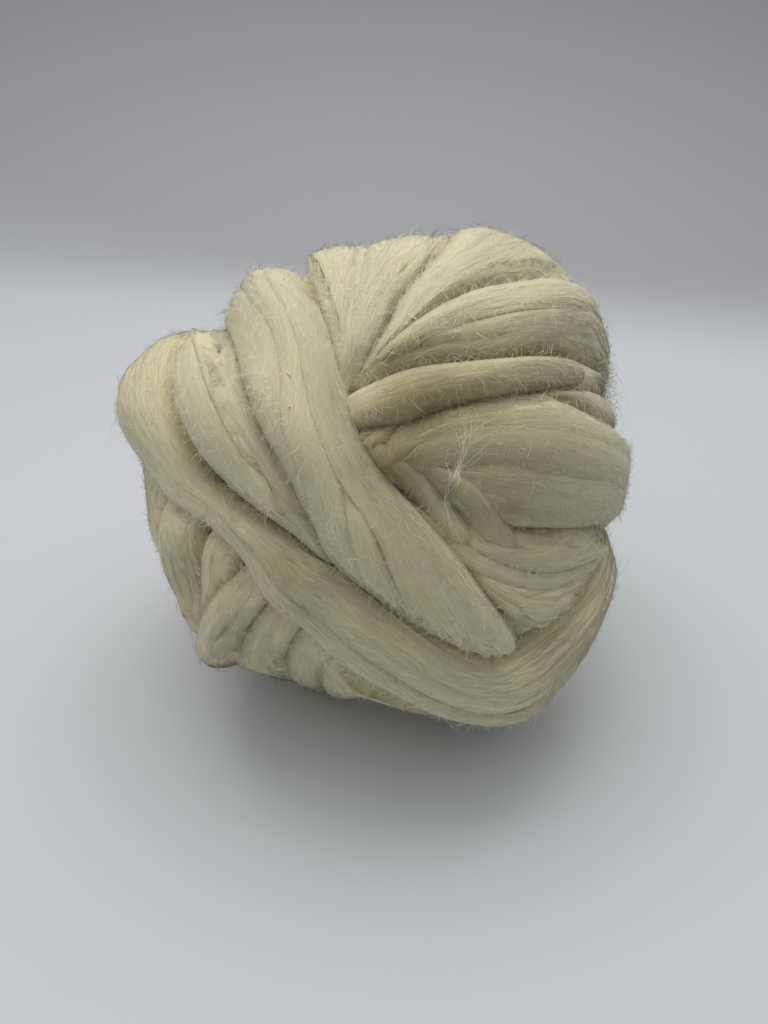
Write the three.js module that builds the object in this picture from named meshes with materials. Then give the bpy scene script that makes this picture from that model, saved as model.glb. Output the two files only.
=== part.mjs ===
// A ball of wool combed top. One thick, soft, untwisted strand of combed wool is wound by hand over
// itself until it is about as big as a small melon. The ball is one closed solid: its wound core, and
// over it each turn of the strand that shows, laid in the order of winding, with the creases between.
import * as THREE from 'three';
import { mergeVertices } from 'three/addons/utils/BufferGeometryUtils.js';

// Sizes are in millimetres and angles in degrees.
const CORE_HEIGHT = 69; // the core's middle above the table
const CORE_FRONT = 68; // the core's half depth toward the face where the turns cross
const CORE_BACK = 71; // and away from it
const CORE_MIDDLE = new THREE.Vector3(0, 0, CORE_HEIGHT);
const FACE_TILT = 28; // the crossing face looks forward and this far up
const BACK_TILT = 8; // the middle of the back looks backward and this far up

// How far the core reaches sideways, seen on the crossing face: one reach for each half hour of a
// clock, from twelve o'clock at the top.
const CORE_REACH = [
  64, 73, 73.5, 73.5, 67.5, 66,
  63.3, 63.3, 65.8, 72.2, 80, 74,
  68, 67.5, 66, 74.5, 69, 72,
  72.5, 79, 73, 62.8, 64.5, 63,
];

// The dark hollow where the turns from the right dive under the crossing ones.
const HOLLOW = { right: 3, up: 2, depth: 10, spread: 14 };

// The weight of the ball presses a flat spot under it.
const FOOT_RADIUS = 23;
const FOOT_FADE = 12;

const BALL_RADIUS = 75; // the radius that widths and lengths are measured on
const STATION_STEP = 3; // between two sections of a turn
const FEWEST_STATIONS = 8;
const NEAR_COSINE = 0.6; // a direction further than this from every station misses the turn
const PRESS_REACH = 5; // wool wound before a turn rounds down to it over this far beside its edges
const PRESS_FROM = 0.2; // a turn starts to press where it has this share of its own thickness
const PRESS_FULL = 0.6; // and presses in full from this share on
const SINK = 0.55; // a turn follows this share of what lies under it, and presses the rest flat
const BED_SMOOTHING = 4; // stations on each side that a turn's bed is evened over
const EDGE_SQUARENESS = 2.3; // a turn's section: a flat oval
const EDGE_ROUNDNESS = 0.6;
const THIN_SHARE = 0.35; // a pinched turn keeps at least this share of its thickness
const TUCK_LENGTH = 15; // a turn's ends thin out over this length where they go under the next
const TUCK_SHARE = 0.1; // and keep this share of the thickness
const FACETS = 24; // each edge of the first icosahedron is cut this many times
const SMOOTHING_PASSES = 3; // the creases are rounded to what the facets can follow
const SMOOTH_SHARE = 0.15; // a corner on a smooth part is evened by this share
const STEEP_STEP = 2.5; // and one this far off its neighbours in full

// The turns of the back and the flanks, in groups that run side by side. Each group's middle is a mark
// on the back, [degrees right, degrees up], and its heading is clockwise from up. The offsets are the
// turns' places across it, and reach is how far each runs both ways. Width and thick are in mm.
const BACK_GROUPS = [
  {
    name: 'under', thick: 6, middle: [0, 0], heading: 0, reach: 92, width: 34,
    offsets: [-66, -44, -22, 0, 22, 44, 66],
  },
  {
    name: 'flank_left', thick: 6, middle: [88, -14], heading: -38, reach: 58, width: 30,
    offsets: [-36, -17, 2, 21],
  },
  {
    name: 'flank_right', thick: 6, middle: [-84, -22], heading: 62, reach: 56, width: 30,
    offsets: [-32, -13, 6, 25],
  },
  {
    name: 'slant', thick: 7, middle: [8, -4], heading: 40, reach: 82, width: 30,
    offsets: [-38, -18, 2, 22],
  },
  {
    name: 'last', thick: 8, middle: [4, 6], heading: -48, reach: 86, width: 30,
    offsets: [-28, -9, 10],
  },
];
const GROUP_MARKS = 13; // marks along each turn of a group
const SWAY = { by: 4, rate: 2.2, shift: 1.9 }; // such a turn wanders, in degrees, unlike its neighbour
const SWELL = { by: 0.16, rate: 3.1, shift: 2.7 }; // and its width swells and shrinks by a share
const END_WIDTH = 0.55; // share of its width at its very ends
const END_START = 0.7; // share of the reach where it starts to narrow

// The turns of the front, from the first wound to the last: thick is in mm over what the turn lies on,
// and a mark is [degrees right, degrees up, width in mm], round the ball from the middle of the face.
// A bridging turn is drawn tight over the hollow.
const FRONT_TURNS = [
  // the lower left, a fan that comes out from under the outermost turn
  {
    name: 'low_left', thick: 7,
    marks: [
      [-46, 6, 12], [-53, -8, 20], [-57, -23, 25], [-58, -38, 26], [-54, -56, 24], [-42, -78, 22],
      [-22, -100, 20],
    ],
  },
  {
    name: 'fan_1', thick: 6,
    marks: [
      [-33, -8, 6], [-38, -14, 12], [-42, -22, 17], [-43.5, -32, 20], [-43, -43, 21],
      [-39, -57, 20], [-30, -75, 20], [-14, -96, 18],
    ],
  },
  {
    name: 'fan_2', thick: 5.5,
    marks: [
      [-23, -15, 5], [-29, -22, 11], [-35.5, -29.5, 15], [-41.5, -36.5, 16], [-47, -44, 15],
      [-54, -54, 14], [-62, -68, 14],
    ],
  },
  {
    name: 'fan_3', thick: 5,
    marks: [
      [-19, -24, 6], [-24, -32, 13], [-29, -42, 18], [-33, -52, 20], [-35, -62, 20], [-32, -78, 19],
      [-18, -98, 18],
    ],
  },
  {
    name: 'fan_4', thick: 4,
    marks: [
      [-12, -30, 8], [-17, -39, 13], [-21, -49, 17], [-24, -60, 18], [-25, -76, 18], [-12, -98, 17],
    ],
  },
  {
    name: 'fan_5', thick: 4,
    marks: [
      [-3, -38, 8], [-8, -47, 14], [-12, -57, 18], [-14, -69, 18], [-14, -85, 18], [-4, -104, 17],
    ],
  },
  {
    name: 'fan_6', thick: 4,
    marks: [
      [8, -46, 10], [4, -58, 17], [2, -72, 20], [4, -92, 20],
    ],
  },

  // the right, where the turns run level and dive into the hollow
  {
    name: 'hollow_bed', thick: 4,
    marks: [
      [-18, -2, 9], [-11, 4, 12], [-4, 9, 13], [3, 12.5, 11], [9, 15.5, 8], [15, 18.5, 5],
    ],
  },
  {
    name: 'hollow_foot', thick: 4,
    marks: [
      [-8, 1, 8], [-2, -3.5, 11], [4, -8.5, 13], [10, -14.5, 13], [16, -21, 9],
    ],
  },
  {
    name: 'hollow_back', thick: 4,
    marks: [
      [-10, -2, 6], [-4, 4, 10], [1.5, 8.5, 10], [6.5, 13, 8], [12, 18, 4],
    ],
  },
  {
    name: 'right_low', thick: 9,
    marks: [
      [9, -16, 6], [15, -23, 14], [23, -30, 22], [33, -31.5, 26], [45, -30.5, 25], [57, -28, 23],
      [70, -26, 22], [88, -27, 21], [104, -31, 18],
    ],
  },
  {
    name: 'right_middle', thick: 6,
    marks: [
      [12, -9, 5], [20, -13.5, 10], [30, -16.5, 15], [41, -17.5, 17], [52, -17, 18], [66, -17, 18],
      [84, -19, 17], [100, -23, 16],
    ],
  },
  {
    name: 'right_high', thick: 11.2,
    marks: [
      [-8, -7, 6], [-2, -2, 10], [4, 3, 19], [10, 5, 28], [17, 5.5, 35], [25, 5, 41], [35, 5, 43],
      [45, 5, 42], [55, 4, 40], [66, 2, 37], [82, -3, 33], [100, -10, 28],
    ],
  },
  {
    name: 'twist_1', thick: 4.5,
    marks: [
      [5, 3, 4], [10, -0.5, 6], [14, -3, 9], [18, -7.5, 11], [21.5, -12.5, 9], [25, -18, 4],
    ],
  },
  {
    name: 'twist_2', thick: 4.5,
    marks: [
      [-3, 4, 4], [1.5, 1.5, 6], [5.5, -1.5, 8], [9.5, -6, 10], [13, -11, 10], [16, -16.5, 4],
    ],
  },

  // the top, a fan that spreads from the crossing turns to the far side
  {
    name: 'behind_2', thick: 5,
    marks: [
      [28, 21, 6], [40, 23.5, 13], [50, 25, 19], [62, 25, 22], [78, 24, 22], [96, 21, 20],
    ],
  },
  {
    name: 'behind_1', thick: 7,
    marks: [
      [7, 21.5, 5], [15, 22.8, 10], [25, 25.5, 15], [34, 28.5, 20], [44, 32.5, 24], [56, 37, 26],
      [72, 41, 26], [90, 44, 24],
    ],
  },
  {
    name: 'fan', thick: 8.2,
    marks: [
      [-8, 108, 46], [-9, 92, 50], [-9, 77, 50], [-9, 64, 48], [-8.7, 52, 42], [-8.5, 42, 34],
      [-8.8, 33, 24], [-10, 26, 14], [-12, 18, 5],
    ],
  },
  {
    name: 'high_lobe', thick: 8.2,
    marks: [
      [50, 88, 40], [44.5, 75, 44], [38, 61.5, 46], [28, 51.5, 41], [18.5, 44.5, 33], [10, 38, 24],
      [3.5, 31, 15], [-3, 24.5, 8], [-8, 19, 4],
    ],
  },
  {
    name: 'high_right', thick: 8,
    marks: [
      [84, 46, 24], [70, 45, 26], [58, 44.5, 26], [45, 41.5, 24], [33.5, 38, 22.5], [24, 34.6, 22],
      [16, 31.5, 20], [8.5, 28.8, 15.5], [1.5, 26, 10], [-5, 21.5, 5],
    ],
  },
  {
    name: 'wedge', thick: 6.5,
    marks: [
      [-22, 8, 8], [-15, 11.3, 9], [-10, 13.2, 10], [-4.8, 15.3, 13], [2, 17.2, 15.5],
      [7, 18.6, 14], [12, 19.7, 10], [16, 20.3, 7], [20, 20.9, 5], [28, 22.2, 4], [36, 24, 3],
    ],
  },

  // the turns that cross the face, from the upper left to the lower right
  {
    name: 'lowest', thick: 6,
    marks: [
      [-20, -48, 10], [-8, -55, 16], [6, -62, 18], [22, -66, 18], [38, -64, 18], [54, -56, 18],
      [70, -46, 18], [88, -38, 17],
    ],
  },
  {
    name: 'shoulder', thick: 9.2, bridges: true,
    marks: [
      [-88, 76, 18], [-78, 65, 19], [-68, 54, 21], [-58.5, 43, 23], [-48.5, 31, 26],
      [-42, 20.5, 26], [-35.5, 9.5, 24], [-29, 0, 20], [-24, -6, 15], [-20, -10.5, 9],
      [-15, -15, 6], [-9, -20, 4],
    ],
  },
  {
    name: 'crossing', thick: 10.2, bridges: true,
    marks: [
      [-66, 86, 28], [-54, 72, 30], [-44, 60, 31], [-36.5, 50, 30], [-30.5, 40, 28],
      [-25.5, 30, 26], [-21.3, 19.5, 24.5], [-17.3, 10, 22.5], [-12.3, 0, 22], [-6.5, -8.5, 25],
      [-1, -16, 28], [5, -23.5, 29], [10.5, -31, 28], [15.5, -38, 28], [20, -45, 28], [24, -52, 26],
      [27, -58, 20],
    ],
  },
  {
    name: 'outermost', thick: 10.5, bridges: true,
    marks: [
      [-104, 74, 24], [-92, 61, 28], [-82, 48, 31], [-74.5, 35, 33], [-68.5, 23.5, 33],
      [-61.5, 12, 30], [-53.5, 3.5, 23], [-45.5, -3.5, 15], [-38, -8, 12], [-31, -13.2, 14],
      [-24, -19.8, 18], [-15, -28.8, 22], [-5, -37.5, 27], [7, -45, 30], [20, -49.5, 32],
      [34, -49, 32], [48, -45, 30], [62, -38.5, 28], [76, -33, 26], [92, -29, 24],
    ],
  },
];

// The two sides' own axes: right, up and outward.
function sideAxes(tilt, facing) {
  const angle = THREE.MathUtils.degToRad(tilt);
  return {
    right: new THREE.Vector3(facing, 0, 0),
    up: new THREE.Vector3(0, facing * Math.sin(angle), Math.cos(angle)),
    out: new THREE.Vector3(0, -facing * Math.cos(angle), Math.sin(angle)),
  };
}

const FACE = sideAxes(FACE_TILT, 1);
const BACK = sideAxes(BACK_TILT, -1);

// The unit vector from the core's middle to a mark on one side.
function toward(side, right, up) {
  const turn = THREE.MathUtils.degToRad(Math.hypot(right, up));
  const clock = Math.atan2(up, right);
  return new THREE.Vector3()
    .addScaledVector(side.out, Math.cos(turn))
    .addScaledVector(side.right, Math.sin(turn) * Math.cos(clock))
    .addScaledVector(side.up, Math.sin(turn) * Math.sin(clock));
}

// A smooth closed curve through the values of a ring, at a place that may lie between two of them.
function ringValue(ring, place) {
  const count = ring.length;
  const first = Math.floor(place);
  const [before, from, to, after] = [-1, 0, 1, 2].map((step) => ring[(first + step + count) % count]);
  const between = place - first;
  const slopeFrom = (to - before) / 2;
  const slopeTo = (after - from) / 2;
  const bend = 3 * (to - from) - 2 * slopeFrom - slopeTo;
  const twist = 2 * (from - to) + slopeFrom + slopeTo;
  return from + slopeFrom * between + bend * between ** 2 + twist * between ** 3;
}

// The core's radius: an ellipse in each half hour's section.
function coreRadius(direction) {
  const right = direction.dot(FACE.right);
  const up = direction.dot(FACE.up);
  const out = direction.dot(FACE.out);
  const clock = (Math.atan2(right, up) / (2 * Math.PI) + 1) % 1;
  const reach = ringValue(CORE_REACH, clock * CORE_REACH.length);
  const depth = out > 0 ? CORE_FRONT : CORE_BACK;
  return 1 / Math.hypot(out / depth, Math.hypot(right, up) / reach);
}

const hollowMiddle = toward(FACE, HOLLOW.right, HOLLOW.up);

function hollowDepth(direction) {
  const away = THREE.MathUtils.radToDeg(direction.angleTo(hollowMiddle)) / HOLLOW.spread;
  return -HOLLOW.depth * Math.exp(-(away ** 2));
}

// The height of a turn's flat oval section, from 1 in its middle to 0 at its edge.
function section(across) {
  return (1 - Math.abs(across) ** EDGE_SQUARENESS) ** EDGE_ROUNDNESS;
}

// The line of one front turn, through its marks.
function frontLine(turn) {
  return turn.marks.map(([right, up, width]) => ({ out: toward(FACE, right, up), width }));
}

// The line of one turn of a back group: most of a great circle, beside the group's middle one.
function backLine(group, place) {
  const [right, up] = group.middle;
  const middle = toward(BACK, right, up);
  const north = toward(BACK, right, up + 1).sub(middle);
  north.addScaledVector(middle, -north.dot(middle)).normalize();
  const east = north.clone().cross(middle);
  const heading = THREE.MathUtils.degToRad(group.heading);
  const ahead = north.multiplyScalar(Math.cos(heading)).addScaledVector(east, Math.sin(heading));
  const aside = ahead.clone().cross(middle);
  const line = [];
  for (let mark = 0; mark < GROUP_MARKS; mark += 1) {
    const share = (2 * mark) / (GROUP_MARKS - 1) - 1;
    const turned = THREE.MathUtils.degToRad(group.reach) * share;
    const sway = SWAY.by * Math.sin(SWAY.rate * turned + SWAY.shift * place);
    const offset = THREE.MathUtils.degToRad(group.offsets[place] + sway);
    const out = middle.clone().multiplyScalar(Math.cos(turned)).addScaledVector(ahead, Math.sin(turned));
    out.multiplyScalar(Math.cos(offset)).addScaledVector(aside, Math.sin(offset));
    const swell = 1 + SWELL.by * Math.sin(SWELL.rate * turned + SWELL.shift * place);
    const ending = Math.max((Math.abs(share) - END_START) / (1 - END_START), 0);
    line.push({ out, width: group.width * swell * THREE.MathUtils.lerp(1, END_WIDTH, ending) });
  }
  return line;
}

// The stations of one turn, evenly spaced along its line on the unit ball.
function layStations(marks, thick) {
  const line = new THREE.CatmullRomCurve3(marks.map((mark) => mark.out), false, 'catmullrom', 0.5);
  const widths = new THREE.SplineCurve(marks.map((mark, place) => new THREE.Vector2(place, mark.width)));
  const length = line.getLength() * BALL_RADIUS;
  const count = Math.max(FEWEST_STATIONS, Math.floor(length / STATION_STEP));
  const widest = Math.max(...marks.map((mark) => mark.width));
  const stations = [];
  for (let place = 0; place <= count; place += 1) {
    const share = line.getUtoTmapping(place / count);
    const width = widths.getPoint(share).y;
    const toEnd = (Math.min(place, count - place) / count) * length;
    const tuck = THREE.MathUtils.lerp(TUCK_SHARE, 1, THREE.MathUtils.smoothstep(toEnd, 0, TUCK_LENGTH));
    const fullness = THREE.MathUtils.lerp(THIN_SHARE, 1, width / widest);
    stations.push({ out: line.getPoint(share).normalize(), width, thick: thick * fullness * tuck });
  }
  stations[0].thickest = Math.max(...stations.map((station) => station.thick));
  stations.forEach((station, place) => {
    const before = stations[Math.max(place - 1, 0)].out;
    const after = stations[Math.min(place + 1, count)].out;
    station.along = after.clone().sub(before);
    station.along.addScaledVector(station.out, -station.along.dot(station.out)).normalize();
    station.across = station.along.clone().cross(station.out);
  });
  return stations;
}

// Where a direction lies on a turn: its stations, -1 to 1 across, and how many mm it is beside the
// nearer edge, less than 0 inside. Null where it is beyond the reach of the turn.
function placeOn(stations, direction) {
  let nearest = 0;
  let closeness = -1;
  stations.forEach((station, place) => {
    const close = station.out.dot(direction);
    if (close > closeness) {
      closeness = close;
      nearest = place;
    }
  });
  const station = stations[nearest];
  const step = stations[0].out.angleTo(stations[1].out);
  const along = nearest + direction.dot(station.along) / step;
  if (closeness < NEAR_COSINE || along < 0 || along > stations.length - 1) {
    return null;
  }
  const from = Math.min(Math.floor(along), stations.length - 2);
  const between = along - from;
  const width = THREE.MathUtils.lerp(stations[from].width, stations[from + 1].width, between);
  const aside = (Math.asin(direction.dot(station.across)) * BALL_RADIUS) / (width / 2);
  const beside = ((Math.abs(aside) - 1) * width) / 2;
  if (beside > PRESS_REACH) {
    return null;
  }
  const across = THREE.MathUtils.clamp(aside, -1, 1);
  return { near: stations[from], far: stations[from + 1], between, beside, across };
}

// The height of the ball over the core after one more turn. Under the turn the wool is pressed down,
// beside its edges it rounds down to it, and the turn's own top lies over that.
function heightAfter(stations, direction, height) {
  const place = placeOn(stations, direction);
  if (!place) {
    return height;
  }
  const mix = (name) => THREE.MathUtils.lerp(place.near[name], place.far[name], place.between);
  const bed = (mix('bedLeft') * (1 - place.across) + mix('bedRight') * (1 + place.across)) / 2;
  const top = bed + mix('thick') * section(place.across);
  const part = THREE.MathUtils.clamp(place.beside / PRESS_REACH, 0, 1);
  const limit = top + PRESS_REACH * Math.sqrt(part * (2 - part));
  const fullness = THREE.MathUtils.inverseLerp(PRESS_FROM, PRESS_FULL, mix('thick') / stations[0].thickest);
  const pressed = height - Math.max(height - limit, 0) * THREE.MathUtils.clamp(fullness, 0, 1);
  return place.beside < 0 ? Math.max(pressed, top) : pressed;
}

function windingHeight(turns, direction) {
  const core = hollowDepth(direction);
  return turns.reduce((height, stations) => heightAfter(stations, direction, height), core);
}

// A turn's bed: the mean and the slope of what lies under it, part pressed flat, evened along it.
function layBed(stations, turnsBelow, bridges) {
  const samples = [-0.9, -0.6, -0.3, 0, 0.3, 0.6, 0.9];
  const squares = samples.reduce((sum, across) => sum + across ** 2, 0);
  const beds = stations.map((station) => {
    const heights = samples.map((across) => {
      const offset = (across * station.width) / 2 / BALL_RADIUS;
      const direction = station.out.clone().multiplyScalar(Math.cos(offset));
      direction.addScaledVector(station.across, Math.sin(offset));
      const height = windingHeight(turnsBelow, direction);
      return SINK * (bridges ? Math.max(height, 0) : height);
    });
    const mean = heights.reduce((sum, height) => sum + height, 0) / samples.length;
    const slope = heights.reduce((sum, height, place) => sum + height * samples[place], 0) / squares;
    return { left: mean - slope, right: mean + slope };
  });
  stations.forEach((station, place) => {
    let total = 0;
    station.bedLeft = 0;
    station.bedRight = 0;
    for (let step = -BED_SMOOTHING; step <= BED_SMOOTHING; step += 1) {
      const bed = beds[THREE.MathUtils.clamp(place + step, 0, beds.length - 1)];
      const weight = 1 + Math.cos((Math.PI * step) / (BED_SMOOTHING + 1));
      station.bedLeft += weight * bed.left;
      station.bedRight += weight * bed.right;
      total += weight;
    }
    station.bedLeft /= total;
    station.bedRight /= total;
  });
}

// Winds all the turns, each over those before it.
function wind() {
  const wound = [];
  const lay = (line, turn) => {
    const stations = layStations(line, turn.thick);
    layBed(stations, wound, turn.bridges);
    wound.push(stations);
  };
  BACK_GROUPS.forEach((group) => {
    for (let place = 0; place < group.offsets.length; place += 1) {
      lay(backLine(group, place), group);
    }
  });
  FRONT_TURNS.forEach((turn) => lay(frontLine(turn), turn));
  return wound;
}

// Evens each radius with those of the corners that it shares an edge with: by a small share where the
// ball is smooth, and by more where a step between turns is steeper than the facets can follow.
function evenRadii(radii, triangles) {
  const sums = radii.map(() => 0);
  const counts = radii.map(() => 0);
  for (let first = 0; first < triangles.length; first += 3) {
    const corners = [triangles[first], triangles[first + 1], triangles[first + 2]];
    corners.forEach((corner, place) => {
      const next = corners[(place + 1) % 3];
      sums[corner] += radii[next];
      counts[corner] += 1;
    });
  }
  return radii.map((radius, place) => {
    const around = sums[place] / counts[place];
    const steepness = THREE.MathUtils.smoothstep(Math.abs(around - radius), 0, STEEP_STEP);
    return THREE.MathUtils.lerp(radius, around, THREE.MathUtils.lerp(SMOOTH_SHARE, 1, steepness));
  });
}

// The ball: an evenly faceted globe whose every corner moves out to the wound surface, with its foot
// pressed flat on the table.
function ballGeometry() {
  const turns = wind();
  const globe = new THREE.IcosahedronGeometry(1, FACETS - 1);
  globe.deleteAttribute('normal');
  globe.deleteAttribute('uv');
  const geometry = mergeVertices(globe);
  const corners = geometry.getAttribute('position');
  const directions = Array.from({ length: corners.count }, (unused, place) => (
    new THREE.Vector3().fromBufferAttribute(corners, place).normalize()));
  let radii = directions.map((direction) => coreRadius(direction) + windingHeight(turns, direction));
  for (let pass = 0; pass < SMOOTHING_PASSES; pass += 1) {
    radii = evenRadii(radii, geometry.index.array);
  }
  directions.forEach((direction, place) => {
    const corner = CORE_MIDDLE.clone().addScaledVector(direction, radii[place]);
    if (corner.z < CORE_HEIGHT / 2) {
      const fromFoot = Math.hypot(corner.x, corner.y);
      corner.z *= THREE.MathUtils.smoothstep(fromFoot, FOOT_RADIUS, FOOT_RADIUS + FOOT_FADE);
    }
    corners.setXYZ(place, corner.x, corner.y, Math.max(corner.z, 0));
  });
  geometry.computeBoundingBox();
  const middle = geometry.boundingBox.getCenter(new THREE.Vector3());
  geometry.translate(-middle.x, -middle.y, 0);
  geometry.computeVertexNormals();
  return geometry;
}

const wool = new THREE.MeshStandardMaterial({ color: '#d3cba9', roughness: 0.95, metalness: 0 });
const ball = new THREE.Mesh(ballGeometry(), wool);
ball.name = 'wool_ball';

const group = new THREE.Group();
group.add(ball);

export default group;
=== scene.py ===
# A ball of wool combed top, resting on a pale surface. One thick, soft, untwisted strand of cream
# wool is wound by hand over itself, so every part is the same wool. Sizes of the wool are in mm and
# brought to metres by MM, places on it are in degrees, and everything round it is in metres.
import math

import bpy
import bmesh
import numpy as np
from mathutils import Matrix, Vector


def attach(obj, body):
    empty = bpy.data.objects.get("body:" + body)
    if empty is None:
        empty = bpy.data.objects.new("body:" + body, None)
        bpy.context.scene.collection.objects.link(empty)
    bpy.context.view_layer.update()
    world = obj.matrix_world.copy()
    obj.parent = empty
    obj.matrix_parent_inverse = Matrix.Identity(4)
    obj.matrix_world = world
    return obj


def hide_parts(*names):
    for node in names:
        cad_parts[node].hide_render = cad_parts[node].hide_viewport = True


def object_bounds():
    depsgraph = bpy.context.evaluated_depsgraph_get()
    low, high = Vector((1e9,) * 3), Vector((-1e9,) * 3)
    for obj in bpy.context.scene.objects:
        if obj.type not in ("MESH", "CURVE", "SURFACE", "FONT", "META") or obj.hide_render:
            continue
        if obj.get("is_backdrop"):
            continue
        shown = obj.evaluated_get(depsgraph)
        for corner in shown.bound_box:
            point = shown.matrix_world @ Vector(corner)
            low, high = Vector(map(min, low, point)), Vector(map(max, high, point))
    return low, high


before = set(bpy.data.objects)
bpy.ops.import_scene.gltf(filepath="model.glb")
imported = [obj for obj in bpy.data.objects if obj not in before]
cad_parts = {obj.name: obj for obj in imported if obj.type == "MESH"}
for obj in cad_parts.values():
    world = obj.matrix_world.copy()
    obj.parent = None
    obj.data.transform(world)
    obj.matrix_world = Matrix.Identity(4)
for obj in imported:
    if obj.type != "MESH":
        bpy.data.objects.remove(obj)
cad_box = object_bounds()

# The wound core. Deep inside, the same wool is wound tight into a lump that is a little wider
# than high. It shows only at the bottom of the deepest creases and in the hollow of the face,
# where the turns from the right dive under the crossing ones.
MM = 0.001
CORE_MIDDLE = np.array([5.24, -0.49, 69.0])
CORE_FRONT = 68.0
CORE_BACK = 71.0
FACE_TILT = 28.0
BACK_TILT = 8.0
CORE_REACH = np.array([
    64, 73, 73.5, 75, 67.5, 66,
    63.3, 63.3, 65.8, 72.2, 80, 74,
    68, 67.5, 66, 74.5, 69, 72,
    72.5, 79, 73, 62.8, 64.5, 63,
])
HOLLOW = {"right": 4.0, "up": 4.0, "depth": 12.0, "spread": 16.0}
# Painted shade: places on the face where the wool colour is darkened towards the crease colour, standing
# in for the shade in the hollow and the recesses beside it.
PAINTED_SHADES = [
    # degrees right, up, spread, how much painted shade
    (1.5, 3.5, 9.0, 0.95),
    (6.0, 14.0, 13.0, 0.85),
    (20.0, 3.0, 26.0, 0.42),
    (17.5, 14.0, 9.0, 0.7),
    (23.0, -7.0, 7.0, 0.6),
    (-21.0, -17.5, 5.0, 0.5),
]
FOOT_RADIUS = 23.0
FOOT_FADE = 12.0
BALL_RADIUS = 75.0
CORE_PAINTED_SHADE = 0.35
CORE_SUNK = 1.0
RIPPLES = 9
RIPPLE_SEED = 5
NOISE_CELLS = 64


def unit(vectors):
    return vectors / np.linalg.norm(vectors, axis=-1, keepdims=True)


def side_axes(tilt, facing):
    """The right, up and outward directions of one side of the ball."""
    angle = math.radians(tilt)
    return np.array([
        [facing, 0, 0],
        [0, facing * math.sin(angle), math.cos(angle)],
        [0, -facing * math.cos(angle), math.sin(angle)],
    ])


FACE = side_axes(FACE_TILT, 1)
BACK = side_axes(BACK_TILT, -1)


def toward(side, right, up):
    """The direction of a mark: degrees right and up round the ball from the middle of a side."""
    turn = np.radians(np.hypot(right, up))
    clock = np.arctan2(up, right)
    local = [np.sin(turn) * np.cos(clock), np.sin(turn) * np.sin(clock), np.cos(turn)]
    return np.stack(np.broadcast_arrays(*local), -1) @ side


def between_rows(before, start, end, after, part):
    """A smooth curve from start to end that heads for the rows beside them."""
    slope_start, slope_end = (end - before) / 2, (after - start) / 2
    bend = 3 * (end - start) - 2 * slope_start - slope_end
    twist = 2 * (start - end) + slope_start + slope_end
    return start + slope_start * part + bend * part**2 + twist * part**3


def core_radius(directions):
    right, up, out = np.moveaxis(directions @ FACE.T, -1, 0)
    hours = len(CORE_REACH)
    place = (np.arctan2(right, up) / (2 * np.pi) * hours) % hours
    first = np.floor(place).astype(int)
    rows = (CORE_REACH[(first + step) % hours] for step in (-1, 0, 1, 2))
    reach = between_rows(*rows, place - first)
    depth = np.where(out > 0, CORE_FRONT, CORE_BACK)
    return 1 / np.hypot(out / depth, np.hypot(right, up) / reach)


def degrees_from(directions, right, up):
    """Degrees round the ball between directions and a mark on the face."""
    return np.degrees(np.arccos(np.clip(directions @ toward(FACE, right, up), -1, 1)))


def hollow_depth(directions):
    away = degrees_from(directions, HOLLOW["right"], HOLLOW["up"]) / HOLLOW["spread"]
    return -HOLLOW["depth"] * np.exp(-away**2)


def hollow_painted_shade(directions):
    """Painted shade: how far the wool colour is darkened towards the crease colour in the hollow and the
    recesses round it, from 0 on the open face.
    """
    browns = [
        brown * np.exp(-((degrees_from(directions, right, up) / spread) ** 2))
        for right, up, spread, brown in PAINTED_SHADES
    ]
    return np.max(browns, axis=0)


def place_on_ball(directions, height):
    """Points in mm at a height over the core, with the foot of the ball pressed flat."""
    points = CORE_MIDDLE + directions * (core_radius(directions) + height)[..., None]
    from_foot = np.hypot(points[..., 0] - CORE_MIDDLE[0], points[..., 1] - CORE_MIDDLE[1])
    fade = np.clip((from_foot - FOOT_RADIUS) / FOOT_FADE, 0, 1)
    press = np.where(points[..., 2] < CORE_MIDDLE[2] / 2, fade * fade * (3 - 2 * fade), 1)
    points[..., 2] = np.maximum(points[..., 2] * press, 0)
    return points


def noise(x, y, seed):
    """Smooth noise from -1 to 1 over a plane, one cell a unit."""
    table = np.random.default_rng(seed).uniform(-1, 1, (NOISE_CELLS, NOISE_CELLS))
    column, row = np.floor(x).astype(int), np.floor(y).astype(int)
    u, v = x - column, y - row
    u, v = u * u * (3 - 2 * u), v * v * (3 - 2 * v)
    columns, rows = ([(first + step) % NOISE_CELLS for step in (0, 1)] for first in (column, row))
    corner = [[table[x, y] for y in rows] for x in columns]
    low = corner[0][0] * (1 - u) + corner[1][0] * u
    high = corner[0][1] * (1 - u) + corner[1][1] * u
    return low * (1 - v) + high * v


def wool_piece(name, points, polygons, material, fibre=None, values=None):
    """A mesh object from arrays. Polygons is a list of index arrays of one width each."""
    mesh = bpy.data.meshes.new(name)
    mesh.vertices.add(len(points))
    mesh.vertices.foreach_set("co", (np.asarray(points) * MM).ravel())
    corners = np.concatenate([p.ravel() for p in polygons])
    sizes = np.concatenate([np.full(len(p), p.shape[1]) for p in polygons])
    mesh.loops.add(len(corners))
    mesh.loops.foreach_set("vertex_index", corners)
    mesh.polygons.add(len(sizes))
    mesh.polygons.foreach_set("loop_start", np.cumsum(sizes) - sizes)
    mesh.polygons.foreach_set("use_smooth", np.ones(len(sizes), bool))
    if fibre is not None:
        layer = mesh.uv_layers.new(name="Fibre")
        layer.data.foreach_set("uv", fibre[corners].ravel())
    for key, value in (values or {}).items():
        kind, field = ("FLOAT", "value") if value.ndim == 1 else ("FLOAT_VECTOR", "vector")
        mesh.attributes.new(key, kind, "POINT").data.foreach_set(field, value.ravel())
    mesh.update(calc_edges=True)
    mesh.validate()
    mesh.materials.append(material)
    piece = bpy.data.objects.new(name, mesh)
    bpy.context.scene.collection.objects.link(piece)
    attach(piece, "root")
    return piece


def new_material(name):
    material = bpy.data.materials.new(name)
    material.use_nodes = True
    tree = material.node_tree
    return material, tree, tree.nodes["Principled BSDF"]


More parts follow.
